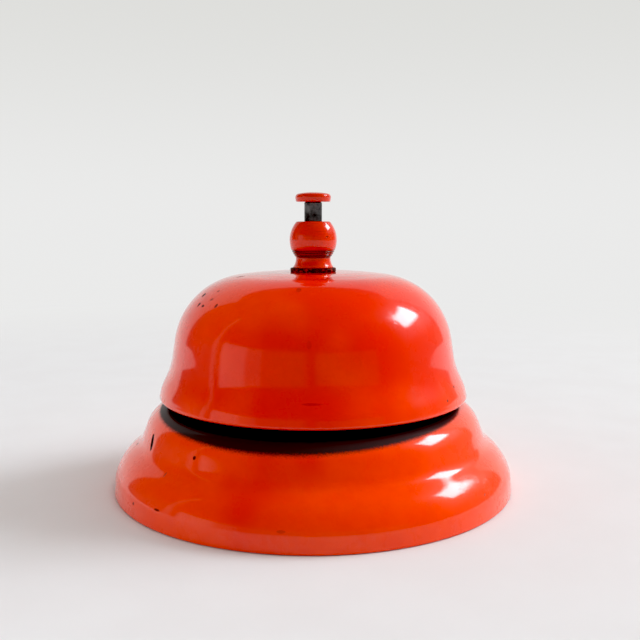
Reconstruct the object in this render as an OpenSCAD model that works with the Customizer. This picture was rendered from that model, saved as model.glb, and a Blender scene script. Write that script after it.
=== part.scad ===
// Desk call bell: a dome gong on a hollow post, struck from inside by a hammer lever
// that the plunger tips over. Millimetres, +Z up, origin on the table under the axis.

/* [Base] */
// Diameter over the crease above the band
base_d = 90.4; // [86:0.2:96]
// Height of the crease above the band
band_h = 3.5; // [3:0.1:4.5]
// Gap between the shell's edge and the table
foot_gap = 0.1; // [0.1:0.05:0.5]
// Radius of the rounded flange above the band
flange_r = 9.9; // [9:0.1:11]
// Radius of the cove between the flange and the steep wall
cove_r = 4.9; // [4:0.1:6]
// Radius of the shoulder around the deck
shoulder_r = 7; // [6:0.1:7.4]
// Thickness of the pressed steel
shell_t = 1.2; // [1:0.1:1.4]

/* [Gong] */
// Height of the top of the gong
gong_top_z = 48.35; // [48:0.05:49]
// Radius of the nearly flat crown
crown_r = 81; // [75:1:90]
// Radius of the round shoulder of the dome
dome_r = 16.8; // [16.4:0.1:17]
// Radius of the hollow flare above the rim
flare_r = 15.6; // [14:0.1:18]
// Radius of the turned-in lip
lip_r = 9; // [8:0.1:10]
// Wall thickness of the gong
gong_t = 1.2; // [1:0.1:1.3]

/* [Finial] */
// Height of the turned nut's flat top
finial_top_z = 59.7; // [59.5:0.1:60]
// Radius of the ball's arc
ball_arc_r = 6.3; // [6.2:0.1:6.5]
// Largest radius of the ball
ball_r = 5.38; // [5:0.02:5.4]
// Radius of the neck under the ball
neck_r = 3.7; // [3.6:0.05:4]
// Radius of the foot on the washer
foot_r = 4.6; // [4.4:0.1:5]
// Radius of the black washer under the foot
upper_washer_r = 5.2; // [5:0.1:6]

/* [Plunger] */
// Diameter of the rod
rod_d = 4; // [3.6:0.1:4]
// Travel of the plunger
travel = 4; // [3:0.1:4.2]
// Diameter of the button
button_d = 8.1; // [7:0.1:9]
// Height of the button's underside
button_z = 64.05; // [64:0.05:64.5]
// Thickness of the button
button_h = 2.25; // [2:0.05:3]

/* [Hammer] */
// Distance of the pivot from the axis
pivot_x = 8; // [7.8:0.1:8.2]
// Height of the pivot
pivot_z = 30; // [29.8:0.1:30.2]
// Distance of the hammer head from the axis at rest
head_x = 25.3; // [24:0.1:25.5]
// Height of the hammer head at rest
head_z = 23.5; // [23.5:0.1:24]
// Radius of the hammer head
head_r = 3.4; // [3:0.1:3.4]

/* [Hidden] */
$fn = 96;

// General fits
run_fit = 0.05;  // radial clearance of a shaft in its bore
play = 0.3;  // room beside a part that moves
arc_steps = 14;  // straight pieces in each bend of an outline

// Base outline: [radius, turn, straight run] of each bend, from the crease up to the deck
base_r = base_d / 2;
band_flare = 0.25;  // how much wider the band is at its foot than at the crease
band_lean = 14;
flange_turn = 38;
cove_turn = 31;
wall_run = 2.8;
base_heading = 90 + band_lean;
shoulder_turn = 180 - base_heading - flange_turn + cove_turn;
base_steps = [[flange_r, flange_turn, 1.4], [cove_r, -cove_turn, wall_run], [shoulder_r, shoulder_turn, 0]];
base_outer = walk([base_r, band_h], base_heading, base_steps);
base_inner = walk([base_r - shell_t, band_h], base_heading, inset(base_steps, shell_t, 1));
deck_z = last(base_outer)[1];
deck_under_z = deck_z - shell_t;

// Bottom of the base
felt_r = base_r - 2.2;
felt_t = 0.8;
plate_t = 0.8;
plate_r = base_r - shell_t - run_fit;

// Gong outline: [radius, turn, straight run] of each bend, from the crown out to the rim
crown_flat_r = 6.3;
gong_steps = [[crown_r, -7.7, 0], [dome_r, -73.4, 3.95], [flare_r, 16.5, 1.9], [lip_r, -18.4, 0.6]];
gong_outer = walk([crown_flat_r, gong_top_z], 0, gong_steps);
gong_inner = walk([crown_flat_r, gong_top_z - gong_t], 0, inset(gong_steps, gong_t, -1));

// Post, stacked upwards from the bolt under the deck
thread_r = 3;
post_r = 4.5;
post_bore_r = 3.2;
bracket_t = 1.2;
post_foot_z = deck_z + bracket_t;
hex_r = 5.6;
hex_h = 1.6;
cut = 1;  // how far a cutting shape runs past the surface it cuts
washer_t = 0.7;
upper_washer_t = 0.85;
post_shoulder_z = gong_top_z - gong_t - washer_t;
post_top_z = 54.2;
stop_z = 46;  // where the wide bore ends and the collar stops
bolt_reach = 4.2;  // how far the bolt enters the post
bolt_head_r = 5.2;
bolt_head_h = 2.4;
lock_washer_t = 0.9;
lock_washer_r = 5.2;
thread_end_gap = 0.3;  // room in the finial above the end of the post
thread_fit = 0.1;  // radial room of a plain hole over the thread

// Plunger, stacked downwards from the collar's stop
rod_r = rod_d / 2;
stud_r = 1.3;
stud_h = 1.35;
nose_r = 1.5;
collar_h = 1.1;
collar_r = post_bore_r - play;
collar_top_z = stop_z - 2 * run_fit;
collar_pin_r = 0.5;
bush_z = 35.5;
bush_h = 2;
wire_r = 0.22;
coil_turns = 5.5;
coil_r = 2.62;
spring_low_z = bush_z + bush_h;
spring_high_z = collar_top_z - collar_h;

// Hammer lever: its inner arm swings as far below level as it stands above it
swing = 0.5 * 180 / PI * travel / 4;
arm_rise = swing / 2;
lever_t = 2;
lever_h = 3;
arm_tip_x = -0.5;
pivot_r = 0.9;
boss_r = 2.3;
head_rivet_r = 0.7;
nose_gap = 0.16;
nose_z = pivot_z + (pivot_x * sin(arm_rise) + lever_h / 2 + nose_r + nose_gap) / cos(arm_rise);
slot_low_z = pivot_z - 5;
slot_high_z = bush_z - 0.3;

// Bracket, its rivets and the pin through its ears
ear_t = 1.2;
ear_y = lever_t / 2 + play;
ear_r = 2.6;
bracket_back_x = -7;
bracket_front_x = 14.5;
bracket_w = 12;
rivet_x = 12;
rivet_y = 4.2;
rivet_r = 0.9;
rivet_head_r = 1.7;
rivet_head_h = 0.7;
pin_head_h = 0.7;
pin_head_r = 1.6;
clip_t = 0.4;
clip_groove_r = 0.6;
clip_r = 1.7;

// Felt pad under the hammer head
rest_pad_r = 2.6;
rest_gap = 0.15;

function last(v) = v[len(v) - 1];

// Points of one bend: it starts at p with heading h and turns by t at radius r
function bend(p, h, r, t) =
    let (s = sign(t), c = p + s * r * [-sin(h), cos(h)])
    [for (k = [1 : arc_steps]) c + s * r * [sin(h + t * k / arc_steps), -cos(h + t * k / arc_steps)]];

// Points after p on a path that takes each [radius, turn, run] step in order
function onward(p, h, steps, i) =
    i == len(steps) ? [] :
    let (
        turned = bend(p, h, steps[i][0], steps[i][1]),
        heading = h + steps[i][1],
        run = steps[i][2],
        end = last(turned) + run * [cos(heading), sin(heading)]
    )
    concat(turned, run > 0 ? [end] : [], onward(end, heading, steps, i + 1));

function walk(p, h, steps) = concat([p], onward(p, h, steps, 0));

// The same steps on a parallel path at distance t: side is 1 to the left and -1 to the right
function inset(steps, t, side) = [for (s = steps) [s[0] - side * sign(s[1]) * t, s[1], s[2]]];

function reverse(v) = [for (i = [len(v) - 1 : -1 : 0]) v[i]];

// Points on an arc around c, both ends included
function arc(c, r, a0, a1) = [for (k = [0 : arc_steps]) c + r * [cos(a0 + (a1 - a0) * k / arc_steps),
                                                               sin(a0 + (a1 - a0) * k / arc_steps)]];

module turned(points) {
    rotate_extrude()
        polygon(points);
}

module ring(z, h, outer_r, inner_r) {
    translate([0, 0, z])
        difference() {
            cylinder(h = h, r = outer_r);
            translate([0, 0, -cut])
                cylinder(h = h + 2 * cut, r = inner_r);
        }
}

module at_pivot() {
    translate([pivot_x, 0, pivot_z])
        rotate([90, 0, 0])
            children();
}

// A rod of radius r along Y, from y0 to y1, through the point p on the XZ plane
module cross_rod(p, r, y0, y1) {
    translate([p[0], y1, p[1]])
        rotate([90, 0, 0])
            cylinder(h = y1 - y0, r = r);
}

module base_shell() {
    color("orangered")
        difference() {
            turned(concat([[base_r + band_flare, foot_gap]], base_outer, [[0, deck_z], [0, deck_under_z]],
                          reverse(base_inner), [[base_r - shell_t, foot_gap]]));
            translate([0, 0, deck_under_z - cut])
                cylinder(h = shell_t + 2 * cut, r = thread_r + thread_fit);
            rivet_places()
                translate([0, 0, deck_under_z - cut])
                    cylinder(h = shell_t + 2 * cut, r = rivet_r);
        }
}

module bottom_plate() {
    color("dimgray")
        translate([0, 0, felt_t])
            cylinder(h = plate_t, r = plate_r);
}

module felt_pad() {
    color("darkslategray")
        cylinder(h = felt_t, r = felt_r);
}

module rivet_places() {
    for (side = [-1, 1])
        translate([rivet_x, side * rivet_y, 0])
            children();
}

module post() {
    color("silver")
        difference() {
            union() {
                translate([0, 0, post_foot_z])
                    cylinder(h = hex_h, r = hex_r, $fn = 6);
                translate([0, 0, post_foot_z])
                    cylinder(h = post_shoulder_z - post_foot_z, r = post_r);
                translate([0, 0, post_shoulder_z])
                    cylinder(h = post_top_z - post_shoulder_z, r = thread_r);
            }
            translate([0, 0, post_foot_z - cut])
                cylinder(h = bolt_reach + 2 * cut, r = thread_r);
            translate([0, 0, post_foot_z + bolt_reach])
                cylinder(h = stop_z - post_foot_z - bolt_reach, r = post_bore_r);
            translate([0, 0, stop_z - cut])
                cylinder(h = post_top_z - stop_z + 2 * cut, r = rod_r + run_fit);
            translate([0, -lever_t / 2 - play, slot_low_z])
                cube([post_r + cut, lever_t + 2 * play, slot_high_z - slot_low_z]);
        }
}

module post_bolt() {
    head_top_z = deck_under_z - lock_washer_t;
    color("dimgray") {
        translate([0, 0, head_top_z - bolt_head_h])
            cylinder(h = bolt_head_h, r = bolt_head_r, $fn = 6);
        translate([0, 0, head_top_z])
            cylinder(h = post_foot_z + bolt_reach - head_top_z, r = thread_r);
    }
}

module post_lock_washer() {
    split_w = 0.8;
    color("gray")
        difference() {
            ring(deck_under_z - lock_washer_t, lock_washer_t, lock_washer_r, thread_r + thread_fit);
            translate([0, -split_w / 2, deck_under_z - lock_washer_t - cut])
                cube([lock_washer_r + cut, split_w, lock_washer_t + 2 * cut]);
        }
}

module bracket() {
    ear_h = pivot_z - deck_z;
    color("gray")
        difference() {
            union() {
                translate([bracket_back_x, -bracket_w / 2, deck_z])
                    cube([bracket_front_x - bracket_back_x, bracket_w, bracket_t]);
                for (side = [-1, 1])
                    translate([0, side * (ear_y + ear_t / 2) - ear_t / 2, 0]) {
                        translate([pivot_x - ear_r, 0, deck_z])
                            cube([2 * ear_r, ear_t, ear_h]);
                        cross_rod([pivot_x, pivot_z], ear_r, 0, ear_t);
                    }
            }
            cross_rod([pivot_x, pivot_z], pivot_r, -bracket_w, bracket_w);
            translate([0, 0, deck_z - cut])
                cylinder(h = bracket_t + 2 * cut, r = thread_r + thread_fit);
            rivet_places()
                translate([0, 0, deck_z - cut])
                    cylinder(h = bracket_t + 2 * cut, r = rivet_r);
        }
}

module bracket_rivets() {
    color("silver")
        rivet_places() {
            translate([0, 0, deck_under_z - rivet_head_h])
                cylinder(h = rivet_head_h, r = rivet_head_r);
            translate([0, 0, deck_under_z - rivet_head_h])
                cylinder(h = shell_t + bracket_t + 2 * rivet_head_h, r = rivet_r);
            translate([0, 0, deck_z + bracket_t])
                cylinder(h = rivet_head_h, r = rivet_head_r);
        }
}

module pivot_pin() {
    outer_y = ear_y + ear_t;
    color("silver")
        difference() {
            union() {
                cross_rod([pivot_x, pivot_z], pivot_r, -outer_y, outer_y + 3 * clip_t);
                cross_rod([pivot_x, pivot_z], pin_head_r, -outer_y - pin_head_h, -outer_y);
            }
            at_pivot()
                ring(-outer_y - 2 * clip_t, clip_t, pivot_r + cut, clip_groove_r);
        }
}

module pivot_clip() {
    outer_y = ear_y + ear_t;
    color("black")
        at_pivot()
            difference() {
                ring(-outer_y - 2 * clip_t, clip_t, clip_r, clip_groove_r);
                translate([-clip_groove_r, -clip_r - cut, -outer_y - 2 * clip_t - cut])
                    cube([2 * clip_groove_r, clip_r + cut, clip_t + 2 * cut]);
            }
}

// A bar in the XZ plane from a to b with round ends
module bar(a, b, w) {
    length = norm(b - a);
    translate([a[0], lever_t / 2, a[1]])
        rotate([90, 0, 0])
            rotate([0, 0, atan2(b[1] - a[1], b[0] - a[0])]) {
                translate([0, -w / 2, 0])
                    cube([length, w, lever_t]);
                cylinder(h = lever_t, r = w / 2);
                translate([length, 0, 0])
                    cylinder(h = lever_t, r = w / 2);
            }
}

module hammer_lever() {
    arm_tip = [arm_tip_x, pivot_z + (pivot_x - arm_tip_x) * tan(arm_rise)];
    color("slategray")
        difference() {
            union() {
                bar([pivot_x, pivot_z], arm_tip, lever_h);
                bar([pivot_x, pivot_z], [head_x, head_z], lever_h);
                cross_rod([pivot_x, pivot_z], boss_r, -lever_t / 2, lever_t / 2);
            }
            cross_rod([pivot_x, pivot_z], pivot_r + run_fit, -lever_t, lever_t);
            cross_rod([head_x, head_z], head_rivet_r, -lever_t, lever_t);
        }
}

module hammer_head() {
    color("goldenrod")
        difference() {
            translate([head_x, 0, head_z])
                sphere(r = head_r);
            bar([pivot_x, pivot_z], [head_x, head_z], lever_h);
            cross_rod([head_x, head_z], head_rivet_r, -head_r - cut, head_r + cut);
        }
}

module hammer_rivet() {
    color("silver")
        cross_rod([head_x, head_z], head_rivet_r, -head_r, head_r);
}

module hammer_rest_pad() {
    color("darkgreen")
        translate([head_x, 0, deck_z])
            cylinder(h = head_z - head_r - rest_gap - deck_z, r = rest_pad_r);
}

module gong_lower_washer() {
    color("saddlebrown")
        ring(post_shoulder_z, washer_t, crown_flat_r, thread_r + thread_fit);
}

module gong() {
    hole_r = thread_r + thread_fit;
    color("orangered")
        turned(concat([[hole_r, gong_top_z]], gong_outer, reverse(gong_inner), [[hole_r, gong_top_z - gong_t]]));
}

module gong_upper_washer() {
    color("black")
        ring(gong_top_z, upper_washer_t, upper_washer_r, thread_r + thread_fit);
}

module finial() {
    low_z = gong_top_z + upper_washer_t;
    edge_r = 0.35;
    top_flat_r = 3.5;
    ball_x = ball_r - ball_arc_r;
    ball_z = 55.5;
    foot_round = 0.3;
    foot_cone = 1.1;
    neck_step = 0.1;
    low_angle = -acos((neck_r + neck_step - ball_x) / ball_arc_r);
    high_angle = asin((finial_top_z - edge_r - ball_z) / ball_arc_r);
    ball = arc([ball_x, ball_z], ball_arc_r, low_angle, high_angle);
    foot = arc([foot_r - foot_round, low_z + foot_round], foot_round, 0, 75);
    color("orangered")
        difference() {
            turned(concat([[0, low_z], [foot_r, low_z]], foot, [[neck_r, last(foot)[1] + foot_cone]],
                          [[neck_r, ball[0][1] - neck_step]], ball,
                          [[top_flat_r, finial_top_z], [0, finial_top_z]]));
            translate([0, 0, low_z - cut])
                cylinder(h = post_top_z + thread_end_gap - low_z + cut, r = thread_r);
            translate([0, 0, low_z])
                cylinder(h = finial_top_z - low_z + cut, r = rod_r + run_fit);
        }
}

module guide_bush() {
    color("goldenrod")
        ring(bush_z, bush_h, post_bore_r, rod_r + run_fit);
}

module plunger_rod() {
    color("darkslategray")
        difference() {
            union() {
                translate([0, 0, nose_z])
                    sphere(r = nose_r);
                translate([0, 0, nose_z])
                    cylinder(h = button_z - nose_z, r = rod_r);
                translate([0, 0, button_z])
                    cylinder(h = stud_h, r = stud_r);
            }
            cross_rod([0, collar_top_z - collar_h / 2], collar_pin_r, -collar_r, collar_r);
        }
}

module plunger_collar() {
    color("gray")
        difference() {
            ring(collar_top_z - collar_h, collar_h, collar_r, rod_r);
            cross_rod([0, collar_top_z - collar_h / 2], collar_pin_r, -collar_r - cut, collar_r + cut);
        }
}

module collar_pin() {
    reach = sqrt(collar_r * collar_r - collar_pin_r * collar_pin_r);
    color("silver")
        cross_rod([0, collar_top_z - collar_h / 2], collar_pin_r, -reach, reach);
}

// A coil of round wire: a ring of points at each step, joined to the next ring
module plunger_spring() {
    sides = 8;
    steps_per_turn = 20;
    steps = coil_turns * steps_per_turn;
    low = spring_low_z + wire_r;
    rise = spring_high_z - spring_low_z - 2 * wire_r;
    points = [for (i = [0 : steps], s = [0 : sides - 1])
        let (a = 360 * coil_turns * i / steps, b = 360 * s / sides, r = coil_r + wire_r * cos(b))
        [r * cos(a), r * sin(a), low + rise * i / steps + wire_r * sin(b)]];
    walls = [for (i = [0 : steps - 1], s = [0 : sides - 1])
        let (n = (s + 1) % sides)
        [i * sides + s, (i + 1) * sides + s, (i + 1) * sides + n, i * sides + n]];
    start = [for (s = [0 : sides - 1]) s];
    end = [for (s = [sides - 1 : -1 : 0]) steps * sides + s];
    color("silver")
        polyhedron(points, concat([start], walls, [end]));
}

module plunger_button() {
    r = button_d / 2;
    edge = 0.9;
    crown = 0.45;
    under = 0.4;
    top_z = button_z + button_h;
    color("orangered")
        difference() {
            turned(concat([[0, button_z], [r - under, button_z], [r, button_z + under]],
                          arc([r - edge, top_z - crown - edge], edge, 0, 65), [[0, top_z]]));
            translate([0, 0, button_z - cut])
                cylinder(h = stud_h + cut, r = stud_r);
        }
}

base_shell();
bottom_plate();
felt_pad();
post();
post_bolt();
post_lock_washer();
bracket();
bracket_rivets();
pivot_pin();
pivot_clip();
hammer_lever();
hammer_head();
hammer_rivet();
hammer_rest_pad();
gong_lower_washer();
gong();
gong_upper_washer();
finial();
guide_bush();
plunger_rod();
plunger_collar();
collar_pin();
plunger_spring();
plunger_button();
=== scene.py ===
"""Desk call bell around its CAD frame: detailed shells and fittings, procedural materials, studio.

Lengths are metres unless a name ends in _mm or _MM. Angles are degrees if a name ends in _deg or
_DEG. An outline is a list of (radius, height).
"""
import math

import bmesh
import bpy
from mathutils import Matrix, Vector, noise


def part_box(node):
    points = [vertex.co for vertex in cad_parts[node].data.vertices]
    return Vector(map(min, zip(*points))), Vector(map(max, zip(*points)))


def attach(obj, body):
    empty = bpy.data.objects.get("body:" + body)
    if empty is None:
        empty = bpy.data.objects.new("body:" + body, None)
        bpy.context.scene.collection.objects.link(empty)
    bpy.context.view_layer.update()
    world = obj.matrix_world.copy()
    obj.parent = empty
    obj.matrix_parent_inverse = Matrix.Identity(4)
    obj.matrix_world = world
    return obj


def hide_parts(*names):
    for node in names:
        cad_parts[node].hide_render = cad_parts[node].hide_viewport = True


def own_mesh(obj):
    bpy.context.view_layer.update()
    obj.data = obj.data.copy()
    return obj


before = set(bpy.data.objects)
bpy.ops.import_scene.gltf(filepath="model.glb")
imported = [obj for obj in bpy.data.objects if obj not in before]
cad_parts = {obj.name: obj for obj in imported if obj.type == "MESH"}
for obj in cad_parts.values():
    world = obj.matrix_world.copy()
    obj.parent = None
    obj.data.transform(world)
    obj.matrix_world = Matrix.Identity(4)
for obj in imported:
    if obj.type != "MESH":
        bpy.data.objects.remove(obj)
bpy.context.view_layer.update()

MM = 0.001
TURN = 2 * math.pi

# ------------------------------------------------------------------ camera
PHOTO_W = 640  # width of the picture that the camera is framed for
FOCAL_PX = 796
SENSOR_MM = 36
PITCH_DEG = 7.06
CAMERA_AT = Vector((1.55, -182, 59.7)) * MM
CLIP_START = 0.005


def add_camera():
    data = bpy.data.cameras.new("camera")
    data.sensor_width = SENSOR_MM
    data.lens = FOCAL_PX * data.sensor_width / PHOTO_W
    data.clip_start = CLIP_START
    camera = bpy.data.objects.new("camera", data)
    camera.location = CAMERA_AT
    camera.rotation_euler = (math.radians(90 - PITCH_DEG), 0, 0)
    bpy.context.scene.collection.objects.link(camera)
    bpy.context.scene.camera = camera


# ------------------------------------------------------------------ shader nodes
class Graph:
    """A node tree with short calls. A number or colour goes into a socket, and a socket is linked.

    A grain is a noise texture's (features per unit, detail, roughness[, distortion]). A ramp is the
    (from, to[, result at from, result at to]) of a smooth step.
    """

    def __init__(self, tree):
        self.tree = tree
        self.tree.nodes.clear()

    def put(self, socket, value):
        if isinstance(value, bpy.types.NodeSocket):
            self.tree.links.new(value, socket)
        elif value is not None:
            socket.default_value = value

    def node(self, kind, inputs=None, **settings):
        made = self.tree.nodes.new(kind)
        for key, value in settings.items():
            setattr(made, key, value)
        for key, value in (inputs or {}).items():
            self.put(made.inputs[key], value)
        return made

    def math(self, operation, a, b=None, c=None):
        return self.node("ShaderNodeMath", {0: a, 1: b, 2: c}, operation=operation).outputs[0]

    def vector(self, operation, a, b=None, scale=None):
        inputs = {0: a, 1: b} if scale is None else {0: a, "Scale": scale}
        made = self.node("ShaderNodeVectorMath", inputs, operation=operation)
        return made.outputs["Value" if operation in ("LENGTH", "DISTANCE") else "Vector"]

    def smooth(self, value, low, high, to_low=0.0, to_high=1.0):
        inputs = {0: value, 1: low, 2: high, 3: to_low, 4: to_high}
        return self.node("ShaderNodeMapRange", inputs, interpolation_type="SMOOTHSTEP").outputs[0]

    def mix(self, factor, a, b):
        return self.node("ShaderNodeMix", {0: factor, 6: a, 7: b}, data_type="RGBA").outputs[2]

    def noise(self, vector, scale, detail, roughness, distortion=0.0):
        inputs = {"Vector": vector, "Scale": scale, "Detail": detail, "Roughness": roughness,
                  "Distortion": distortion}
        return self.node("ShaderNodeTexNoise", inputs).outputs["Fac"]

    def pattern(self, vector, grain, ramp):
        """A noise texture seen through a smooth step."""
        return self.smooth(self.noise(vector, *grain), *ramp)

    def ragged(self, vector, grain, amount):
        """A noise texture that wanders round zero, to fray an edge with."""
        centred = self.math("SUBTRACT", self.noise(vector, *grain), 0.5)
        return self.math("MULTIPLY", centred, amount)

    def split(self, vector):
        return self.node("ShaderNodeSeparateXYZ", {0: vector}).outputs

    def stretch(self, vector, scale, offset=(0, 0, 0), turn=(0, 0, 0)):
        """The vector seen in a frame at offset, turned and scaled."""
        inputs = {"Vector": vector, "Location": offset, "Rotation": turn, "Scale": scale}
        return self.node("ShaderNodeMapping", inputs, vector_type="TEXTURE").outputs[0]

    def bump(self, height, distance):
        inputs = {"Strength": 1.0, "Distance": distance, "Height": height}
        return self.node("ShaderNodeBump", inputs).outputs[0]


def new_material(name):
    """A material, its graph and the place on the piece in millimetres, which patterns follow."""
    material = bpy.data.materials.new(name)
    material.use_nodes = True
    graph = Graph(material.node_tree)
    place = graph.node("ShaderNodeTexCoord").outputs["Object"]
    return material, graph, graph.vector("SCALE", place, scale=1 / MM)


def close_material(graph, **inputs):
    """Ends the graph in one Principled shader, whose inputs are given with _ for each space."""
    inputs = {key.replace("_", " "): value for key, value in inputs.items()}
    shader = graph.node("ShaderNodeBsdfPrincipled", inputs)
    graph.node("ShaderNodeOutputMaterial", {0: shader.outputs[0]})


# ------------------------------------------------------------------ enamel
DEEP_ENAMEL = (0.84, 0.027, 0.0012, 1)
BRIGHT_ENAMEL = (0.97, 0.062, 0.0025, 1)
CHERRY_ENAMEL = (0.45, 0.016, 0.0020, 1)
# bare metal in chips and specks, and also the painted shade in the middle of the dark disc under
# the gong
BARE_DARK = (0.012, 0.008, 0.009, 1)
# the paler edge of that disc: dust and a painted reflection
DUST_AND_SHEEN_DARK = (0.042, 0.024, 0.024, 1)
RINGED_BROWN = (0.055, 0.010, 0.007, 1)
STAIN = (0.22, 0.022, 0.004, 1)

SIDE_LIGHT_PER_MM = 0.008  # painted light and shade: how fast the enamel gets brighter away from the middle, in X; the middle stays deeper
TONE_GRAIN, TONE_RAMP = (0.045, 2, 0.5), (0.40, 0.70)
MOTTLE = (0.35, 4, 0.6), (0.3, 0.75, 0.0, 0.25)
STAINED = (0.8, 4, 0.65), (0.70, 0.80, 0.0, 0.45)
HAZE = (0.25, 4, 0.7), (0.35, 0.75, 0.25, 0.42)  # gives the roughness under the gloss

CHIP_DEPTH_MM = 2.0  # a chip reaches at least this far along the radius
CHIP_GRAIN, CHIP_FRAY, CHIP_RAMP = (2.2, 3, 0.6), 0.7, (1.15, 0.85)
SPECK_GRAIN, SPECK_SOFT = (2.4, 3, 0.7), 0.04
SPECK_EDGE, SPECK_SPREAD = 0.80, 0.05  # the noise level that makes a speck, and its fall per specks
BARE_ROUGHNESS, BARE_SINK = 0.7, 0.5

STREAK_LINES, STREAK_GRAIN, STREAK_RAMP = (6.0, 6.0, 0.13), (1.0, 3, 0.6), (0.34, 0.60, 0.35, 0.95)
FINE_LINES, FINE_GRAIN, FINE_RAMP = (9.0, 9.0, 0.10), (1.0, 2, 0.5), (0.64, 0.74, 0.0, 0.45)
RINGS_FOOT_MM, RINGS_HEAD_MM = (-0.25, 0.15), (0.35, -0.35)  # soft ends of the ringed heights

SHADOW_GRAIN, SHADOW_FRAY_MM, SHADOW_SOFT_MM = (3.0, 3, 0.7), 0.8, 0.40
DUST_AND_SHEEN_MM = (6.0, 0.5)  # how far inside the disc's edge the paler dust and painted reflection start and are full; further in, the painted shade is darkest
SHADOW_GLOSS, SHADOW_ROUGHNESS = 0.3, 0.5

PEEL_GRAIN, PEEL_HEIGHT = (0.55, 2, 0.4), 0.10
WIPE_STRETCH, WIPE_TURN = (0.25, 2.5, 2.5), (0.3, 0.5, 0.4)
WIPE_GRAIN, WIPE_HEIGHT = (1.0, 3, 0.7), 0.03
SCRATCH_GRAIN, SCRATCH_HEIGHT, SCUFF_FRAY = (2.6, 5, 0.8), 0.5, 1.6
ENAMEL_BUMP_MM = 0.06


def spot_mask(graph, place, spots, fray):
    """The strength of each chip or scuff inside it, and 0 outside.

    A spot is its centre (azimuth, radius, height), its length, width and tilt, and its strength.
    """
    frayed = graph.ragged(place, CHIP_GRAIN, fray)
    total = None
    for azimuth_deg, radius_mm, height_mm, length_mm, width_mm, tilt_deg, strength in spots:
        azimuth = math.radians(azimuth_deg)
        centre = (radius_mm * math.cos(azimuth), radius_mm * math.sin(azimuth), height_mm)
        half = (max(CHIP_DEPTH_MM, length_mm) / 2, width_mm / 2, length_mm / 2)
        local = graph.stretch(place, half, centre, (math.radians(tilt_deg), 0, azimuth))
        away = graph.math("ADD", graph.vector("LENGTH", local), frayed)
        one = graph.smooth(away, *CHIP_RAMP, 0.0, strength)
        total = one if total is None else graph.math("MAXIMUM", total, one)
    return total


def dark_rings(graph, place, low_mm, high_mm):
    """Dark ring marks between two heights, and fainter ones everywhere."""
    height = graph.split(place)["Z"]
    streak = graph.noise(graph.stretch(place, STREAK_LINES), *STREAK_GRAIN)
    foot = graph.smooth(height, *(low_mm + offset for offset in RINGS_FOOT_MM))
    head = graph.smooth(height, *(high_mm + offset for offset in RINGS_HEAD_MM))
    inside = graph.math("MULTIPLY", foot, head)
    banded = graph.math("MULTIPLY", inside, graph.smooth(streak, *STREAK_RAMP))
    fine = graph.pattern(graph.stretch(place, FINE_LINES), FINE_GRAIN, FINE_RAMP)
    return graph.math("MAXIMUM", banded, fine)


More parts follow.
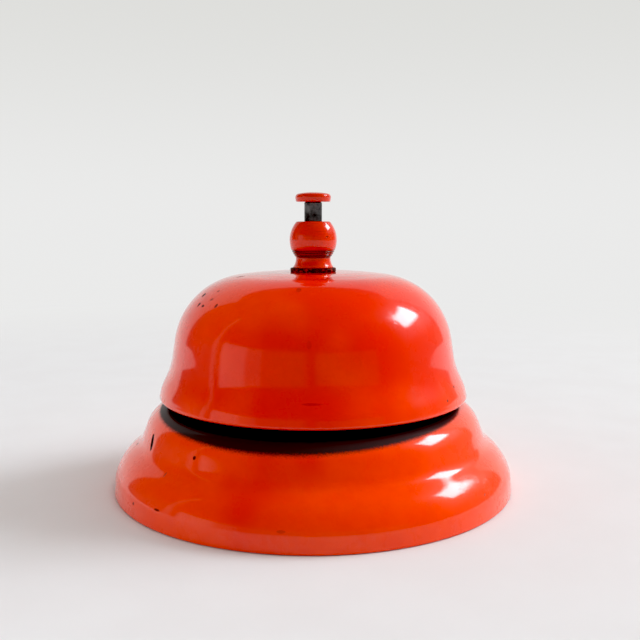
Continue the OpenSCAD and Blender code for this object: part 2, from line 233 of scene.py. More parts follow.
def enamel(name, chips, specks=0.5, shadow=None, rings=None, darker=0.0, scuffs=None, lift=0.0):
    """Thick glossy paint on steel with stains, specks, chips and patches of fine scratches, and
    painted light that makes it brighter towards both sides in X.

    shadow is (x, y, radius) in mm: a black disc under the gong, bare deck and painted shade that
    deepens
    towards the middle, with dust and a painted reflection at its paler edge. rings is (low, high)
    in mm:
    a height range that is darkened with ring marks. darker goes from orange towards cherry, and
    lift shifts the whole paint from deep towards bright.
    """
    material, graph, place = new_material(name)
    # painted light: the paint is made brighter towards both sides in X and deeper in the middle
    sideways = graph.math("ABSOLUTE", graph.split(place)["X"])
    side_light_and_lift = graph.math("MULTIPLY_ADD", sideways, SIDE_LIGHT_PER_MM, lift)
    tone = graph.math("ADD", graph.noise(place, *TONE_GRAIN), side_light_and_lift)
    colour = graph.mix(graph.smooth(tone, *TONE_RAMP), DEEP_ENAMEL, BRIGHT_ENAMEL)
    colour = graph.mix(graph.pattern(place, *MOTTLE), colour, DEEP_ENAMEL)
    colour = graph.mix(graph.pattern(place, *STAINED), colour, STAIN)
    if darker:
        colour = graph.mix(darker, colour, CHERRY_ENAMEL)
    speck_edge = SPECK_EDGE - SPECK_SPREAD * specks
    bare = graph.pattern(place, SPECK_GRAIN, (speck_edge, speck_edge + SPECK_SOFT))
    bare = graph.math("MAXIMUM", bare, spot_mask(graph, place, chips, CHIP_FRAY))
    haze = graph.pattern(place, *HAZE)
    gloss = graph.math("SUBTRACT", 1.0, bare)

    if rings:
        colour = graph.mix(dark_rings(graph, place, *rings), colour, RINGED_BROWN)
    if shadow:
        # the black disc under the gong is bare deck and painted shade, deepest towards the middle;
        # its paler edge is dust and a painted reflection
        x, y, radius = shadow
        flat = graph.vector("MULTIPLY", place, (1, 1, 0))
        frayed = graph.ragged(place, SHADOW_GRAIN, SHADOW_FRAY_MM)
        away = graph.math("ADD", graph.vector("DISTANCE", flat, (x, y, 0)), frayed)
        bare_and_shaded = graph.smooth(away, radius + SHADOW_SOFT_MM, radius - SHADOW_SOFT_MM)
        dust_and_sheen = graph.smooth(away, *(radius - inwards for inwards in DUST_AND_SHEEN_MM))
        colour = graph.mix(bare_and_shaded, colour, graph.mix(dust_and_sheen, BARE_DARK, DUST_AND_SHEEN_DARK))
        kept = graph.smooth(bare_and_shaded, 0.0, 1.0, 1.0, SHADOW_GLOSS)
        gloss = graph.math("MULTIPLY", gloss, kept)
        dull = graph.math("MULTIPLY", bare_and_shaded, SHADOW_ROUGHNESS)
        haze = graph.math("MAXIMUM", haze, dull)
    colour = graph.mix(bare, colour, BARE_DARK)
    haze = graph.math("MAXIMUM", haze, graph.math("MULTIPLY", bare, BARE_ROUGHNESS))

    peel = graph.noise(place, *PEEL_GRAIN)
    wipe = graph.noise(graph.stretch(place, WIPE_STRETCH, turn=WIPE_TURN), *WIPE_GRAIN)
    height = graph.math("ADD", graph.math("MULTIPLY", peel, PEEL_HEIGHT),
                        graph.math("MULTIPLY", wipe, WIPE_HEIGHT))
    height = graph.math("SUBTRACT", height, graph.math("MULTIPLY", bare, BARE_SINK))
    if scuffs:
        scratch = graph.noise(place, *SCRATCH_GRAIN)
        mask = spot_mask(graph, place, scuffs, SCUFF_FRAY)
        rubbed = graph.math("MULTIPLY", mask, SCRATCH_HEIGHT)
        height = graph.math("ADD", height, graph.math("MULTIPLY", scratch, rubbed))
    normal = graph.bump(height, ENAMEL_BUMP_MM * MM)
    close_material(graph, Base_Color=colour, Roughness=haze, Normal=normal, Coat_Weight=gloss,
                   Coat_Roughness=0.04, Coat_IOR=1.5, Coat_Normal=normal, Specular_IOR_Level=0.1)
    return material


# ------------------------------------------------------------------ other materials
# LINES is how far turning marks are stretched along X, Y and Z: they run round the piece.
RUST = (0.12, 0.045, 0.02, 1)
RUST_GRAIN, RUST_RAMP = (1.1, 5, 0.7), (0.60, 0.72)
STEEL_GRAIN, STEEL_BUMP_MM = (3.0, 4, 0.65), 0.02
STEEL_CLOUD = (0.5, 4, 0.6), (0.3, 0.7)
STEEL_LINES_RAMP, STEEL_ROUGHNESS_RAMP = (0.35, 0.7, 0.0, 0.6), (0.25, 0.75)

BRASS_BRIGHT, BRASS_DULL = (0.62, 0.42, 0.14, 1), (0.30, 0.19, 0.07, 1)
BRASS_GRAIN, BRASS_RAMP, BRASS_ROUGHNESS_RAMP = (0.7, 4, 0.6), (0.35, 0.7), (0.3, 0.7, 0.22, 0.5)
BRASS_LINES, BRASS_LINES_GRAIN, BRASS_BUMP_MM = (3.0, 3.0, 0.2), (3.0, 3, 0.6), 0.015

FELT_GRAIN, FELT_RAMP, FELT_BUMP_MM = (5.0, 6, 0.75, 2.0), (0.3, 0.7), 0.15
WOOL = (0.6, 3, 0.6), (0.4, 0.7, 0.0, 0.4)

BOARD_DARK, BOARD_PALE = (0.30, 0.09, 0.05, 1), (0.44, 0.17, 0.10, 1)
BOARD_LINES, BOARD_GRAIN, BOARD_RAMP = (2.0, 2.0, 0.12), (1.5, 4, 0.6), (0.3, 0.7)
BOARD_BUMP_MM = 0.03

RING_BLACK, RING_BROWN = (0.014, 0.004, 0.004, 1), (0.09, 0.013, 0.009, 1)
CRUMB_ORANGE, CRUMBS = (0.46, 0.032, 0.010, 1), ((1.1, 4, 0.7), (0.53, 0.60))
RING_LINES, RING_GRAIN, RING_RAMP = (2.0, 2.0, 0.08), (2.0, 3, 0.6), (0.4, 0.65)
RING_ROUGHNESS_RAMP, RING_BUMP_MM = (0.3, 0.7, 0.4, 0.7), 0.05


def steel(name, bright, dark, roughness, lines=(4.0, 4.0, 0.25), rust=0.0):
    """Machined steel with turning marks. roughness is its (low, high) along them."""
    material, graph, place = new_material(name)
    marks = graph.noise(graph.stretch(place, lines), *STEEL_GRAIN)
    colour = graph.mix(graph.pattern(place, *STEEL_CLOUD), dark, bright)
    colour = graph.mix(graph.smooth(marks, *STEEL_LINES_RAMP), colour, dark)
    if rust:
        colour = graph.mix(graph.pattern(place, RUST_GRAIN, (*RUST_RAMP, 0.0, rust)), colour, RUST)
    uneven_gloss = graph.smooth(marks, *STEEL_ROUGHNESS_RAMP, *roughness)
    close_material(graph, Base_Color=colour, Metallic=1.0, Roughness=uneven_gloss,
                   Normal=graph.bump(marks, STEEL_BUMP_MM * MM))
    return material


def brass(name):
    material, graph, place = new_material(name)
    cloud = graph.noise(place, *BRASS_GRAIN)
    marks = graph.noise(graph.stretch(place, BRASS_LINES), *BRASS_LINES_GRAIN)
    colour = graph.mix(graph.smooth(cloud, *BRASS_RAMP), BRASS_BRIGHT, BRASS_DULL)
    close_material(graph, Base_Color=colour, Metallic=1.0,
                   Roughness=graph.smooth(cloud, *BRASS_ROUGHNESS_RAMP),
                   Normal=graph.bump(marks, BRASS_BUMP_MM * MM))
    return material


def felt(name, pale, deep):
    material, graph, place = new_material(name)
    fibre = graph.noise(place, *FELT_GRAIN)
    colour = graph.mix(graph.smooth(fibre, *FELT_RAMP), deep, pale)
    colour = graph.mix(graph.pattern(place, *WOOL), colour, deep)
    close_material(graph, Base_Color=colour, Roughness=0.95, Sheen_Weight=0.4,
                   Normal=graph.bump(fibre, FELT_BUMP_MM * MM))
    return material


def fibre_board(name):
    material, graph, place = new_material(name)
    layers = graph.noise(graph.stretch(place, BOARD_LINES), *BOARD_GRAIN)
    colour = graph.mix(graph.smooth(layers, *BOARD_RAMP), BOARD_DARK, BOARD_PALE)
    close_material(graph, Base_Color=colour, Roughness=0.75,
                   Normal=graph.bump(layers, BOARD_BUMP_MM * MM))
    return material


def dark_ring(name):
    """Blackened washer with crumbs of orange paint left on it."""
    material, graph, place = new_material(name)
    crumbs = graph.pattern(place, *CRUMBS)
    marks = graph.noise(graph.stretch(place, RING_LINES), *RING_GRAIN)
    colour = graph.mix(graph.smooth(marks, *RING_RAMP), RING_BLACK, RING_BROWN)
    colour = graph.mix(crumbs, colour, CRUMB_ORANGE)
    close_material(graph, Base_Color=colour, Roughness=graph.smooth(marks, *RING_ROUGHNESS_RAMP),
                   Normal=graph.bump(marks, RING_BUMP_MM * MM), Specular_IOR_Level=0.25)
    return material


# ------------------------------------------------------------------ mesh building
BEND_STEP_DEG = 3.0
CREASE_DEG = 35
ON_AXIS = 1e-7
UNEVEN_UP = 0.6  # how much of an uneven surface's wander goes up and down
UNEVEN_SHIFT = Vector((0, 0, 7.7))  # keeps the wander along the height apart from the other one


def walk(start, heading_deg, steps):
    """Points of a path that takes each (radius, turn in degrees, straight run) in order."""
    (x, z), heading = start, math.radians(heading_deg)
    points = [(x, z)]
    for radius, turn_deg, run in steps:
        side = math.copysign(1, turn_deg)
        reach = side * radius
        centre = (x - reach * math.sin(heading), z + reach * math.cos(heading))
        count = max(2, math.ceil(abs(turn_deg) / BEND_STEP_DEG))
        for k in range(1, count + 1):
            angle = heading + math.radians(turn_deg) * k / count
            points.append((centre[0] + reach * math.sin(angle),
                           centre[1] - reach * math.cos(angle)))
        heading += math.radians(turn_deg)
        x, z = points[-1]
        if run:
            x, z = x + run * math.cos(heading), z + run * math.sin(heading)
            points.append((x, z))
    return points


def inset(steps, distance, side):
    """The steps of a parallel path at that distance: side is 1 to the left and -1 to the right."""
    return [(radius - side * math.copysign(distance, turn), turn, run)
            for radius, turn, run in steps]


def arc(centre, radius, start_deg, end_deg, count):
    angles = [math.radians(start_deg + (end_deg - start_deg) * k / count) for k in range(count + 1)]
    return [(centre[0] + radius * math.cos(a), centre[1] + radius * math.sin(a)) for a in angles]


def spaced(outline, longest):
    """The outline with every straight piece cut so that none is longer than that."""
    points = [outline[0]]
    for a, b in zip(outline, outline[1:]):
        count = max(1, math.ceil(math.dist(a, b) / longest))
        points += [(a[0] + (b[0] - a[0]) * k / count, a[1] + (b[1] - a[1]) * k / count)
                   for k in range(1, count + 1)]
    return points


def finish_mesh(name, mesh_maker, crease_deg=CREASE_DEG):
    """The object made from the faces, smooth except at its creases."""
    bmesh.ops.recalc_face_normals(mesh_maker, faces=mesh_maker.faces)
    mesh = bpy.data.meshes.new(name)
    mesh_maker.to_mesh(mesh)
    mesh_maker.free()
    mesh.update()
    for face in mesh.polygons:
        face.use_smooth = True
    mesh.set_sharp_from_angle(angle=math.radians(crease_deg))
    piece = bpy.data.objects.new(name, mesh)
    bpy.context.scene.collection.objects.link(piece)
    return piece


def lathe(name, outline, shift, segments=256, crease_deg=CREASE_DEG):
    """A closed solid turned from an outline that starts and ends on the axis, or closes on itself.

    shift(point) gives the offset that each point of the surface moves by.
    """
    mesh_maker = bmesh.new()
    rings = []
    for radius, height in outline:
        count = 1 if radius < ON_AXIS else segments
        ring = []
        for k in range(count):
            angle = TURN * k / segments
            point = Vector((radius * math.cos(angle), radius * math.sin(angle), height))
            ring.append(mesh_maker.verts.new(point + shift(point)))
        rings.append(ring)
    pairs = list(zip(rings, rings[1:]))
    if outline[0][0] >= ON_AXIS:
        pairs.append((rings[-1], rings[0]))
    for low, high in pairs:
        for k in range(segments):
            n = (k + 1) % segments
            corners = [low[k % len(low)], low[n % len(low)],
                       high[n % len(high)], high[k % len(high)]]
            corners = [c for i, c in enumerate(corners) if c not in corners[:i]]
            if len(corners) > 2:
                mesh_maker.faces.new(corners)
    return finish_mesh(name, mesh_maker, crease_deg)


def uneven(amount, wave, seed):
    """A gentle wander of a hand-made surface: each point moves along its radius and height."""
    def shift(point):
        where = Vector((point.x / wave, point.y / wave, point.z / wave + seed))
        out = Vector((point.x, point.y, 0))
        if out.length > 0:
            out.normalize()
        up = noise.noise(where + UNEVEN_SHIFT)
        return amount * (out * noise.noise(where) + Vector((0, 0, UNEVEN_UP * up)))
    return shift


def fit(piece, material, body, slot, *nodes):
    """The piece gets its material, rides on the body and stands for the nodes; the slot is not
    used.
    """
    piece.data.materials.append(material)
    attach(piece, body)
    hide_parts(*nodes)


# ------------------------------------------------------------------ base
SHEET = 1.2 * MM
SHEET_BORE = 3.1 * MM  # hole in the deck, the gong and the washer, which the post's ends go through
BAND_H = 3.5 * MM
BAND_FLARE = 0.25 * MM  # how much wider the band is at its foot than at the crease
BAND_LEAN_DEG = 14
HEM = 0.2 * MM
FLANGE = (9.9 * MM, 38, 1.4 * MM)
COVE = (4.9 * MM, -31, 2.8 * MM)
SHOULDER_R = 7.0 * MM
CREASE_ROUND, CREASE_STEP = 0.35 * MM, 0.03 * MM
BASE_LONGEST = 0.8 * MM
DARK_DISC_UNDER_GONG = (-0.8, -3.4, 33.75)  # x, y and radius in mm of the black disc under the gong: bare deck, and painted shade where the gong shades it

BASE_CHIPS = [  # azimuth, radius, height, length, width, tilt, strength
    (-152, 38.4, 13.4, 3.8, 1.3, 30, 1.0),
    (-127, 38.3, 13.7, 0.8, 0.7, 0, 0.9),
    (-136, 40.8, 9.6, 0.9, 0.4, 10, 0.5),
    (-169, 40.3, 10.1, 0.5, 0.9, 0, 0.8),
    (-132, 45.0, 4.2, 0.4, 1.6, 0, 0.8),
    (-143, 45.2, 3.2, 0.6, 0.6, 0, 0.8),
    (-97, 45.0, 4.3, 0.5, 1.6, 0, 0.25),
    (-39, 44.5, 5.4, 0.3, 0.9, 30, 0.5),
    (60, 44.9, 3.4, 0.7, 2.2, 0, 1.0),
    (130, 41.5, 9.0, 1.2, 0.8, 0, 1.0),
    (15, 37.9, 14.0, 1.5, 0.6, 20, 1.0),
]
BASE_SCUFFS = [(-43, 43.3, 7.3, 5.0, 7.0, 20, 0.5), (-36, 43.8, 6.6, 2.0, 3.0, 30, 1.0)]


def base_outline():
    low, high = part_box("base_shell")
    radius, foot = high.x - BAND_FLARE, low.z
    heading_deg = 90 + BAND_LEAN_DEG
    turn_deg = 180 - heading_deg - FLANGE[1] - COVE[1]
    steps = [FLANGE, COVE, (SHOULDER_R, turn_deg, 0)]
    outer = walk((radius, BAND_H), heading_deg, steps)
    inner = walk((radius - SHEET, BAND_H), heading_deg, inset(steps, SHEET, 1))
    band = arc((radius + BAND_FLARE - HEM, foot + HEM), HEM, -90, 0, 4)
    band += [(radius + CREASE_STEP, BAND_H - CREASE_ROUND)]
    deck = [(SHEET_BORE, outer[-1][1]), (SHEET_BORE, inner[-1][1])]
    outline = band + outer[1:] + deck + inner[::-1] + [(radius - SHEET, foot)]
    return spaced(outline, BASE_LONGEST)


def make_base():
    shell = lathe("base_shell_visible", base_outline(), uneven(0.03 * MM, 14 * MM, seed=3.1))
    paint = enamel("base_enamel", BASE_CHIPS, shadow=DARK_DISC_UNDER_GONG, scuffs=BASE_SCUFFS, lift=0.1)
    fit(shell, paint, "base", "orange_enamel", "base_shell")


# ------------------------------------------------------------------ gong
GONG_SHEET = 1.2 * MM
CROWN_FLAT_R = 6.3 * MM
GONG_STEPS = [(81 * MM, -7.7, 0), (16.8 * MM, -73.4, 3.95 * MM), (15.6 * MM, 16.5, 1.9 * MM),
              (9 * MM, -18.4, 0.6 * MM)]
GONG_LIP_DEG = (7, -173)  # where the rim's round end starts and stops
GONG_LONGEST = 0.9 * MM

GONG_CHIPS = [  # azimuth, radius, height, length, width, tilt, strength
    (-157, 25.7, 43.9, 0.9, 1.0, -30, 1.0),
    (-146, 24.2, 45.0, 0.4, 0.5, 0, 0.8),
    (-144, 26.2, 43.4, 0.5, 0.7, 30, 0.8),
    (-152, 27.5, 42.1, 0.9, 0.7, -20, 1.0),
    (-147, 27.6, 42.0, 0.5, 1.0, 0, 0.9),
    (-137, 27.2, 42.4, 0.8, 0.7, 0, 0.8),
    (-158, 17.2, 47.6, 0.9, 1.2, 0, 0.8),
    (-91, 30.9, 36.1, 1.6, 1.0, 0, 0.12),
    (-97, 22.4, 46.0, 1.2, 1.0, 20, 0.3),
    (-90, 33.6, 25.1, 0.45, 4.0, 0, 0.25),
    (-27, 33.8, 24.7, 0.5, 0.5, 0, 0.9),
    (-36, 34.6, 22.8, 0.5, 0.5, 0, 0.9),
    (10, 30.0, 37.8, 1.5, 0.8, 0, 1.0),
    (95, 34.4, 22.6, 0.9, 1.6, 0, 1.0),
    (150, 27.5, 41.9, 1.2, 0.8, 0, 1.0),
]
GONG_SCUFFS = [
    (-59, 28.8, 40.4, 5.0, 4.0, 0, 0.35),
    (-51, 33.3, 25.6, 2.4, 2.0, 20, 1.0),
    (-38, 33.2, 26.0, 3.5, 1.2, 20, 1.0),
    (-127, 29.5, 39.2, 0.9, 1.2, 40, 1.0),
    (-72, 31.6, 32.7, 3.0, 0.8, 10, 0.8),
]


def gong_outline():
    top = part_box("gong")[1].z
    outer = walk((CROWN_FLAT_R, top), 0, GONG_STEPS)
    inner = walk((CROWN_FLAT_R, top - GONG_SHEET), 0, inset(GONG_STEPS, GONG_SHEET, -1))
    (ax, az), (bx, bz) = outer[-1], inner[-1]
    lip = arc(((ax + bx) / 2, (az + bz) / 2), GONG_SHEET / 2, *GONG_LIP_DEG, 8)
    rise = GONG_SHEET / 2  # the lip's round end stays above the CAD rim
    outside = [p for p in outer if p[1] > az + rise]
    inside = [p for p in inner if p[1] > bz + rise]
    lip = [(x, z + rise) for x, z in lip]
    crown, under = [(SHEET_BORE, top)], [(SHEET_BORE, top - GONG_SHEET)]
    return spaced(crown + outside + lip + inside[::-1] + under, GONG_LONGEST)


def make_gong():
    gong = lathe("gong_visible", gong_outline(), uneven(0.012 * MM, 13 * MM, seed=9.4))
    paint = enamel("gong_enamel", GONG_CHIPS, scuffs=GONG_SCUFFS, lift=-0.14)
    fit(gong, paint, "base", "orange_enamel", "gong")


# ------------------------------------------------------------------ finial and its washer
BALL_ARC_R = 6.3 * MM
BALL_Z = 55.5 * MM
BALL_R = 5.38 * MM
BALL_STEPS = 48
FINIAL_FOOT_R, FINIAL_FOOT_ROUND = 4.6 * MM, 0.22 * MM
FINIAL_BORE, FINIAL_RIM = 2.06 * MM, 0.3 * MM
RIM_ROUND = (0.10 * MM, 0.13 * MM)  # the rim's corner goes in and down by this
RIM_FLAT = 0.32 * MM
BORE_CHAMFER = 0.15 * MM
NECK_Z = 51.5 * MM
NECK_POWER, NECK_AT = 2.2, (0.08, 0.2, 0.35, 0.5, 0.65, 0.8, 0.92)
GROOVES_Z = [53.1 * MM, 52.6 * MM, 52.15 * MM, 51.7 * MM]
GROOVE_DEPTH = 0.13 * MM
GROOVE_HALF = 0.15 * MM
RINGS_MM = (51.5, 53.4)
FINIAL_CHIPS = [(-54, 5.2, 56.3, 0.3, 0.9, 0, 0.6), (20, 5.2, 55.2, 0.5, 0.7, 0, 1.0)]

WASHER_ROUND, WASHER_LONGEST = 0.2 * MM, 0.3 * MM


def grooved(outline, heights, depth, half):
    """The outline with a small rounded groove turned into it at each height."""
    points = []
    for radius, z in spaced(outline, half / 3):
        nearest = min(abs(z - h) for h in heights)
        if nearest < half:
            radius -= depth * (0.5 + 0.5 * math.cos(math.pi * nearest / half))
        points.append((radius, z))
    return points


def finial_outline():
    low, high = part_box("finial")
    low_deg = math.degrees(math.asin((NECK_Z - BALL_Z) / BALL_ARC_R))
    high_deg = math.degrees(math.asin((high.z - FINIAL_RIM - BALL_Z) / BALL_ARC_R))
    ball = arc((BALL_R - BALL_ARC_R, BALL_Z), BALL_ARC_R, low_deg, high_deg, BALL_STEPS)
    neck_r, rim_r = ball[0][0], ball[-1][0]
    flat_r = FINIAL_FOOT_R - FINIAL_FOOT_ROUND
    foot = arc((flat_r, low.z + FINIAL_FOOT_ROUND), FINIAL_FOOT_ROUND, -80, 70, 6)
    foot_x, foot_top = foot[-1]
    neck = [(neck_r + (foot_x - neck_r) * (1 - t) ** NECK_POWER,
             foot_top + (NECK_Z - foot_top) * t) for t in NECK_AT]
    top = [(rim_r - RIM_ROUND[0], high.z - RIM_ROUND[1]), (rim_r - RIM_FLAT, high.z),
           (FINIAL_BORE + BORE_CHAMFER, high.z), (FINIAL_BORE, high.z - BORE_CHAMFER)]
    side = grooved(neck + ball, GROOVES_Z, GROOVE_DEPTH, GROOVE_HALF)
    return [(FINIAL_BORE, low.z), (flat_r, low.z)] + foot + side + top


def make_finial():
    wander = uneven(0.015 * MM, 4 * MM, seed=1.2)
    finial = lathe("finial_visible", finial_outline(), wander, segments=128)
    paint = enamel("finial_enamel", FINIAL_CHIPS, specks=1.0, rings=RINGS_MM, darker=0.4)
    fit(finial, paint, "base", "orange_enamel", "finial")


def make_upper_washer():
    low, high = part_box("gong_upper_washer")
    flat_r = high.x - WASHER_ROUND
    outline = [(SHEET_BORE, low.z), (flat_r, low.z)]
    outline += arc((flat_r, low.z + WASHER_ROUND), WASHER_ROUND, -80, 0, 4)
    outline += arc((flat_r, high.z - WASHER_ROUND), WASHER_ROUND, 0, 90, 4)
    outline += [(SHEET_BORE, high.z)]
    outline = spaced(outline, WASHER_LONGEST)
    wander = uneven(0.05 * MM, 1.1 * MM, seed=5.0)
    washer = lathe("gong_upper_washer_visible", outline, wander, segments=128)
    fit(washer, dark_ring("washer_black"), "base", "blackened_steel", "gong_upper_washer")


# ------------------------------------------------------------------ plunger
STUD_R = 1.3 * MM  # the rod's thinner end, which the button's recess takes
BUTTON_EDGE, BUTTON_CROWN, BUTTON_UNDER = 0.85 * MM, 0.35 * MM, 0.35 * MM
UNDER_FLAT, UNDER_ROUND = 0.5 * MM, 0.1 * MM  # how far the underside's flat and round are set in
CROWN_AT = (0.85, 0.65, 0.45, 0.25, 0.1)  # parts of the radius
BUTTON_CHIPS = [(70, 3.8, 65.2, 0.5, 0.9, 0, 1.0)]

ROD_NOSE, ROD_CHAMFER, ROD_LONGEST = 1.5 * MM, 0.2 * MM, 0.5 * MM
ROD_BRIGHT, ROD_DARK = (0.26, 0.25, 0.25, 1), (0.035, 0.03, 0.03, 1)

WIRE_R = 0.22 * MM
SPRING_TURNS, CLOSED_TURNS = 6.5, 0.9  # all turns, and the closed turns at each end
WIRE_SIDES, STEPS_PER_TURN = 12, 48
SPRING_BRIGHT, SPRING_DARK = (0.55, 0.55, 0.57, 1), (0.25, 0.24, 0.24, 1)


def make_button():
    low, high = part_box("plunger_button")
    radius, base, top = high.x, low.z, high.z
    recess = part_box("plunger_rod")[1].z
    outline = [(0, recess), (STUD_R, recess), (STUD_R, base),
               (radius - BUTTON_UNDER - UNDER_FLAT, base)]
    outline += arc((radius - BUTTON_UNDER - UNDER_ROUND, base + BUTTON_UNDER), BUTTON_UNDER,
                   -90, -10, 5)
    outline += arc((radius - BUTTON_EDGE, top - BUTTON_CROWN - BUTTON_EDGE), BUTTON_EDGE, 0, 74, 8)
    x, z = outline[-1]
    outline += [(x * k, z + (top - z) * (1 - k * k)) for k in CROWN_AT] + [(0, top)]
    wander = uneven(0.02 * MM, 3 * MM, seed=4.4)
    button = lathe("plunger_button_visible", outline, wander, segments=128, crease_deg=50)
    paint = enamel("button_enamel", BUTTON_CHIPS, specks=1.0, darker=0.55)
    fit(button, paint, "plunger", "orange_enamel", "plunger_button")


def make_rod():
    low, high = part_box("plunger_rod")
    radius, shoulder = high.x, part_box("plunger_button")[0].z
    outline = arc((0, low.z + ROD_NOSE), ROD_NOSE, -90, 0, 10)
    outline += [(radius - ROD_CHAMFER, low.z + ROD_NOSE), (radius, low.z + ROD_NOSE + ROD_CHAMFER),
                (radius, shoulder - ROD_CHAMFER), (radius - ROD_CHAMFER, shoulder),
                (STUD_R, shoulder), (STUD_R, high.z), (0, high.z)]
    wander = uneven(0.008 * MM, 0.8 * MM, seed=2.2)
    rod = lathe("plunger_rod_visible", spaced(outline, ROD_LONGEST), wander, segments=96)
    metal = steel("rod_steel", ROD_BRIGHT, ROD_DARK, (0.25, 0.5), lines=(4.0, 4.0, 0.12), rust=0.5)
    fit(rod, metal, "plunger", "blackened_steel", "plunger_rod")


def coil_height(turn, rise):
    """The height of the wire's middle above its start, with the end turns closed."""
    closed_pitch = 2 * WIRE_R
    if turn < CLOSED_TURNS:
        return closed_pitch * turn
    if turn > SPRING_TURNS - CLOSED_TURNS:
        return rise - closed_pitch * (SPRING_TURNS - turn)
    middle = rise - 2 * CLOSED_TURNS * closed_pitch
    open_turns = SPRING_TURNS - 2 * CLOSED_TURNS
    return CLOSED_TURNS * closed_pitch + middle * (turn - CLOSED_TURNS) / open_turns


def make_spring():
    """A round wire coil with its last turns closed."""
    low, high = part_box("plunger_spring")
    coil_r = high.x - WIRE_R
    count = int(SPRING_TURNS * STEPS_PER_TURN)
    rise = high.z - low.z - 2 * WIRE_R
    mesh_maker = bmesh.new()
    rings = []
    for k in range(count + 1):
        turn = SPRING_TURNS * k / count
        angle, z = TURN * turn, coil_height(turn, rise)
        ring = []
        for s in range(WIRE_SIDES):
            around = TURN * s / WIRE_SIDES
            r = coil_r + WIRE_R * math.cos(around)
            height = low.z + WIRE_R + z + WIRE_R * math.sin(around)
            ring.append(mesh_maker.verts.new((r * math.cos(angle), r * math.sin(angle), height)))
        rings.append(ring)
    for a, b in zip(rings, rings[1:]):
        for s in range(WIRE_SIDES):
            n = (s + 1) % WIRE_SIDES
            mesh_maker.faces.new((a[s], b[s], b[n], a[n]))
    mesh_maker.faces.new(rings[0])
    mesh_maker.faces.new(rings[-1][::-1])
    spring = finish_mesh("plunger_spring_visible", mesh_maker)
    metal = steel("spring_steel", SPRING_BRIGHT, SPRING_DARK, (0.2, 0.4))
    fit(spring, metal, "base", "bright_steel", "plunger_spring")
    height = high.z - low.z
    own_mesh(spring)


# ------------------------------------------------------------------ felt
FELT_ROUND = 0.25 * MM
FELT_PUSH, FELT_LEVEL, FELT_UP = 0.7, 0.6, 0.5  # part of the fuzz, mean push inwards, part upwards
FUZZ_WAVE = 0.5 * MM
GREEN_PALE, GREEN_DEEP = (0.035, 0.085, 0.055, 1), (0.012, 0.03, 0.02, 1)
GREY_PALE, GREY_DEEP = (0.30, 0.29, 0.26, 1), (0.16, 0.15, 0.13, 1)


def make_felt(node, material, segments, rings, fuzz):
    """A felt disc with soft edges and an uneven top and side. Its underside stays flat."""
    low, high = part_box(node)
    centre = (low + high) / 2
    radius, thick = (high.x - low.x) / 2, high.z - low.z
    round_r = min(FELT_ROUND, thick / 3)
    flat_r = radius - round_r
    outline = [(radius * k / rings, 0) for k in range(rings)] + [(flat_r, 0)]
    outline += arc((flat_r, round_r), round_r, -80, 0, 3)
    outline += arc((flat_r, thick - round_r), round_r, 0, 90, 3)
    outline += [(radius * k / rings, thick) for k in range(rings - 1, -1, -1)]

    def shift(point):
        push = FELT_PUSH * fuzz * (noise.noise(point / FUZZ_WAVE) - FELT_LEVEL)
        way = Vector((point.x / radius, point.y / radius, FELT_UP))
        return push * way * min(1, point.z / round_r)

    pad = lathe(node + "_visible", outline, shift, segments)
    pad.data.transform(Matrix.Translation((centre.x, centre.y, low.z)))
    fit(pad, material, "base", "felt", node)


# ------------------------------------------------------------------ CAD pieces that stay
# bright and dark colour, roughness low and high, stretch of the marks, rust
CAD_STEELS = {
    "turned_steel": ((0.62, 0.62, 0.63, 1), (0.36, 0.35, 0.34, 1),
                     (0.22, 0.42), (3.0, 3.0, 0.2), 0.15),
    "pressed_steel": ((0.50, 0.50, 0.51, 1), (0.28, 0.27, 0.26, 1),
                      (0.35, 0.6), (0.3, 3.0, 3.0), 0.3),
    "black_oxide": ((0.07, 0.07, 0.075, 1), (0.03, 0.03, 0.032, 1), (0.3, 0.55)),
    "zinc_plate": ((0.42, 0.43, 0.42, 1), (0.24, 0.24, 0.23, 1),
                   (0.4, 0.65), (2.0, 2.0, 2.0), 0.2),
}
CAD_CHOICE = {
    "turned_steel": ("post", "post_bolt", "bracket_rivets", "pivot_pin", "hammer_rivet",
                     "plunger_collar", "collar_pin"),
    "pressed_steel": ("bracket", "hammer_lever"),
    "black_oxide": ("post_lock_washer", "pivot_clip"),
    "zinc_plate": ("bottom_plate",),
    "turned_brass": ("hammer_head", "guide_bush"),
    "red_fibre": ("gong_lower_washer",),
}


def dress_cad_nodes():
    """The mechanism's exact CAD pieces keep their shape and get their metals."""
    materials = {name: steel(name, *settings) for name, settings in CAD_STEELS.items()}
    materials["turned_brass"] = brass("turned_brass")
    materials["red_fibre"] = fibre_board("red_fibre")
    for name, nodes in CAD_CHOICE.items():
        for node in nodes:
            set_cad_material(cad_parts[node], materials[name])


def set_cad_material(node, material):
    if not node.material_slots:
        node.data.materials.append(material)
    for place in node.material_slots:
        place.material = material


# ------------------------------------------------------------------ studio
PAPER = (0.755, 0.762, 0.768, 1)
PAPER_SHADE = (0.70, 0.69, 0.69, 1)
PAPER_CLOUD = (0.05, 3, 0.5), (0.3, 0.7, 0.0, 0.25)
PAPER_REACH = 6.0
PAPER_END_MM = (110, 420)  # where the lit paper starts to give way to the backdrop, and is gone
HORIZON = (0.83, 0.83, 0.825, 1)
ABOVE = (0.735, 0.735, 0.715, 1)
CLIMB = (0.0, 0.30)  # radians above the horizon over which the backdrop gets darker
LIGHT_MAP = 1024
BLACK_LEVEL = (0.02, 0.02, 0.02)

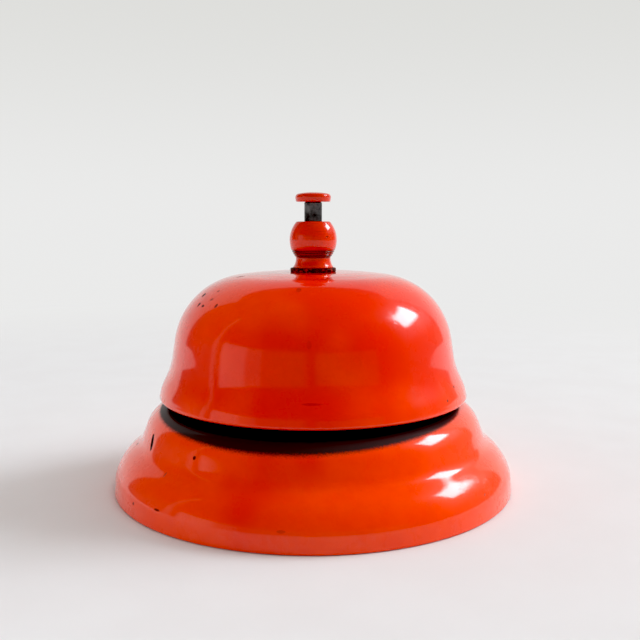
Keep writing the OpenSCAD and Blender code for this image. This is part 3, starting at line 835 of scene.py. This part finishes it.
WHITE, WARM, COOL = (1, 1, 1), (1.0, 0.92, 0.84), (0.92, 0.97, 1.06)
ROOM = [  # azimuths and elevations in degrees, strength, softness of the two in degrees, tint
    ((-200, 200), (-100, 100), 0.13, 1.0, 1.0, WARM),  # room
    ((-56, 48), (-100, 49), 0.42, 1.0, 1.0, WHITE),  # white backdrop
    ((-56, 48), (-100, 16), 0.24, 1.0, 14, WHITE),  # its brighter foot
    ((30, 112), (-100, 52), 0.10, 16, 10, WHITE),  # pale wall around the window
    ((61, 88), (29, 43), 14.0, 2.5, 2.5, COOL),  # window
    ((50, 96), (18, 48), 0.35, 6.0, 6.0, COOL),  # its glow
    ((-140, -103), (-8, 17), 0.36, 2.0, 2.0, WHITE),  # white door behind on the left
    ((-126, -103), (-8, 17), 0.36, 2.0, 2.0, WHITE),  # its lit half
    ((-175, -140), (-8, 17), 0.2, 4, 4, WHITE),  # wall beyond it
    ((-97, -93), (-8, 46), 0.35, 1.6, 1.6, WHITE),  # its bright gap
    ((128, 178), (-8, 15), 0.16, 1.5, 1.5, WHITE),  # pale furniture behind the camera
]
LAMPS = [  # name, azimuth and elevation in degrees, distance, size, power, colour
    ("top_fill", 85, 78, 1.8, 2.4, 22.5, (1.0, 0.97, 0.95)),
    ("front_fill", 195, 5, 1.8, 1.4, 5, (1.0, 0.95, 0.91)),
    ("right_key", 80, 14, 1.5, 1.2, 15.5, (1.0, 0.99, 0.97)),
    ("left_fill", -90, 2, 1.5, 0.8, 10, (1.0, 0.96, 0.93)),
]


def make_floor():
    """White paper: lit near the bell, and fading far off into the backdrop's own brightness."""
    mesh = bpy.data.meshes.new("floor")
    r = PAPER_REACH
    mesh.from_pydata([(-r, -r, 0), (r, -r, 0), (r, r, 0), (-r, r, 0)], [], [(0, 1, 2, 3)])
    floor = bpy.data.objects.new("floor", mesh)
    bpy.context.scene.collection.objects.link(floor)
    material, graph, place = new_material("paper")
    colour = graph.mix(graph.pattern(place, *PAPER_CLOUD), PAPER, PAPER_SHADE)
    paper = graph.node("ShaderNodeBsdfPrincipled", {"Base Color": colour, "Roughness": 0.8,
                                                    "Specular IOR Level": 0.1})
    glow = graph.node("ShaderNodeEmission", {"Color": HORIZON, "Strength": 1.0})
    far = graph.smooth(graph.vector("LENGTH", place), *PAPER_END_MM)
    both = graph.node("ShaderNodeMixShader", {0: far, 1: paper.outputs[0], 2: glow.outputs[0]})
    graph.node("ShaderNodeOutputMaterial", {0: both.outputs[0]})
    mesh.materials.append(material)


class Sky(Graph):
    """The room around the bell, in soft-edged patches of light.

    A patch is placed by its azimuth, from +Y towards +X, and its elevation.
    """

    def __init__(self, tree):
        super().__init__(tree)
        direction = self.node("ShaderNodeTexCoord").outputs["Generated"]
        x, y, z = self.split(direction)
        self.azimuth = self.math("ARCTAN2", x, y)
        self.elevation = self.math("ARCSINE", z)
        self.light = None

    def between(self, angle, range_deg, soft_deg):
        low, high, soft = (math.radians(value) for value in (*range_deg, soft_deg))
        above_low = self.smooth(angle, low - soft, low + soft)
        below_high = self.smooth(angle, high + soft, high - soft)
        return self.math("MULTIPLY", above_low, below_high)

    def patch(self, azimuth_deg, elevation_deg, strength, soft_az_deg, soft_el_deg, tint):
        mask = self.math("MULTIPLY", self.between(self.azimuth, azimuth_deg, soft_az_deg),
                         self.between(self.elevation, elevation_deg, soft_el_deg))
        light = self.vector("SCALE", tuple(strength * c for c in tint), scale=mask)
        self.light = light if self.light is None else self.vector("ADD", self.light, light)


def make_world():
    """The patches light the bell, and the camera itself sees a plain backdrop."""
    world = bpy.data.worlds.new("room")
    bpy.context.scene.world = world
    world.use_nodes = True
    sky = Sky(world.node_tree)
    for patch in ROOM:
        sky.patch(*patch)
    lit = sky.node("ShaderNodeBackground", {"Color": sky.light, "Strength": 1.0})
    tone = sky.mix(sky.smooth(sky.elevation, *CLIMB), HORIZON, ABOVE)
    seen = sky.node("ShaderNodeBackground", {"Color": tone, "Strength": 1.0})
    path = sky.node("ShaderNodeLightPath").outputs["Is Camera Ray"]
    both = sky.node("ShaderNodeMixShader", {0: path, 1: lit.outputs[0], 2: seen.outputs[0]})
    sky.node("ShaderNodeOutputWorld", {0: both.outputs[0]})
    world.cycles.sampling_method = "MANUAL"
    world.cycles.sample_map_resolution = LIGHT_MAP


def add_lamp(name, azimuth_deg, elevation_deg, away, size, power, colour):
    """A soft box that lights the bell evenly and doesn't show in its gloss."""
    azimuth, elevation = math.radians(azimuth_deg), math.radians(elevation_deg)
    level = math.cos(elevation)
    towards = Vector((math.sin(azimuth) * level, math.cos(azimuth) * level, math.sin(elevation)))
    data = bpy.data.lights.new(name, "AREA")
    data.size = size
    data.energy = power
    data.color = colour
    lamp = bpy.data.objects.new(name, data)
    lamp.location = towards * away
    lamp.rotation_euler = towards.to_track_quat("Z", "Y").to_euler()
    lamp.visible_glossy = False
    bpy.context.scene.collection.objects.link(lamp)


def set_look():
    """Plain sRGB with the deepened blacks of a print, which keep the enamel's colour pure."""
    view = bpy.context.scene.view_settings
    view.view_transform = "Standard"
    view.use_curve_mapping = True
    view.curve_mapping.black_level = BLACK_LEVEL
    view.curve_mapping.update()


add_camera()
make_floor()
make_world()
for lamp_settings in LAMPS:
    add_lamp(*lamp_settings)
set_look()
make_base()
make_gong()
make_finial()
make_upper_washer()
make_button()
make_rod()
make_spring()
green_felt = felt("green_felt", GREEN_PALE, GREEN_DEEP)
grey_felt = felt("pad_felt", GREY_PALE, GREY_DEEP)
make_felt("felt_pad", green_felt, segments=192, rings=40, fuzz=0.12 * MM)
make_felt("hammer_rest_pad", grey_felt, segments=64, rings=8, fuzz=0.10 * MM)
dress_cad_nodes()
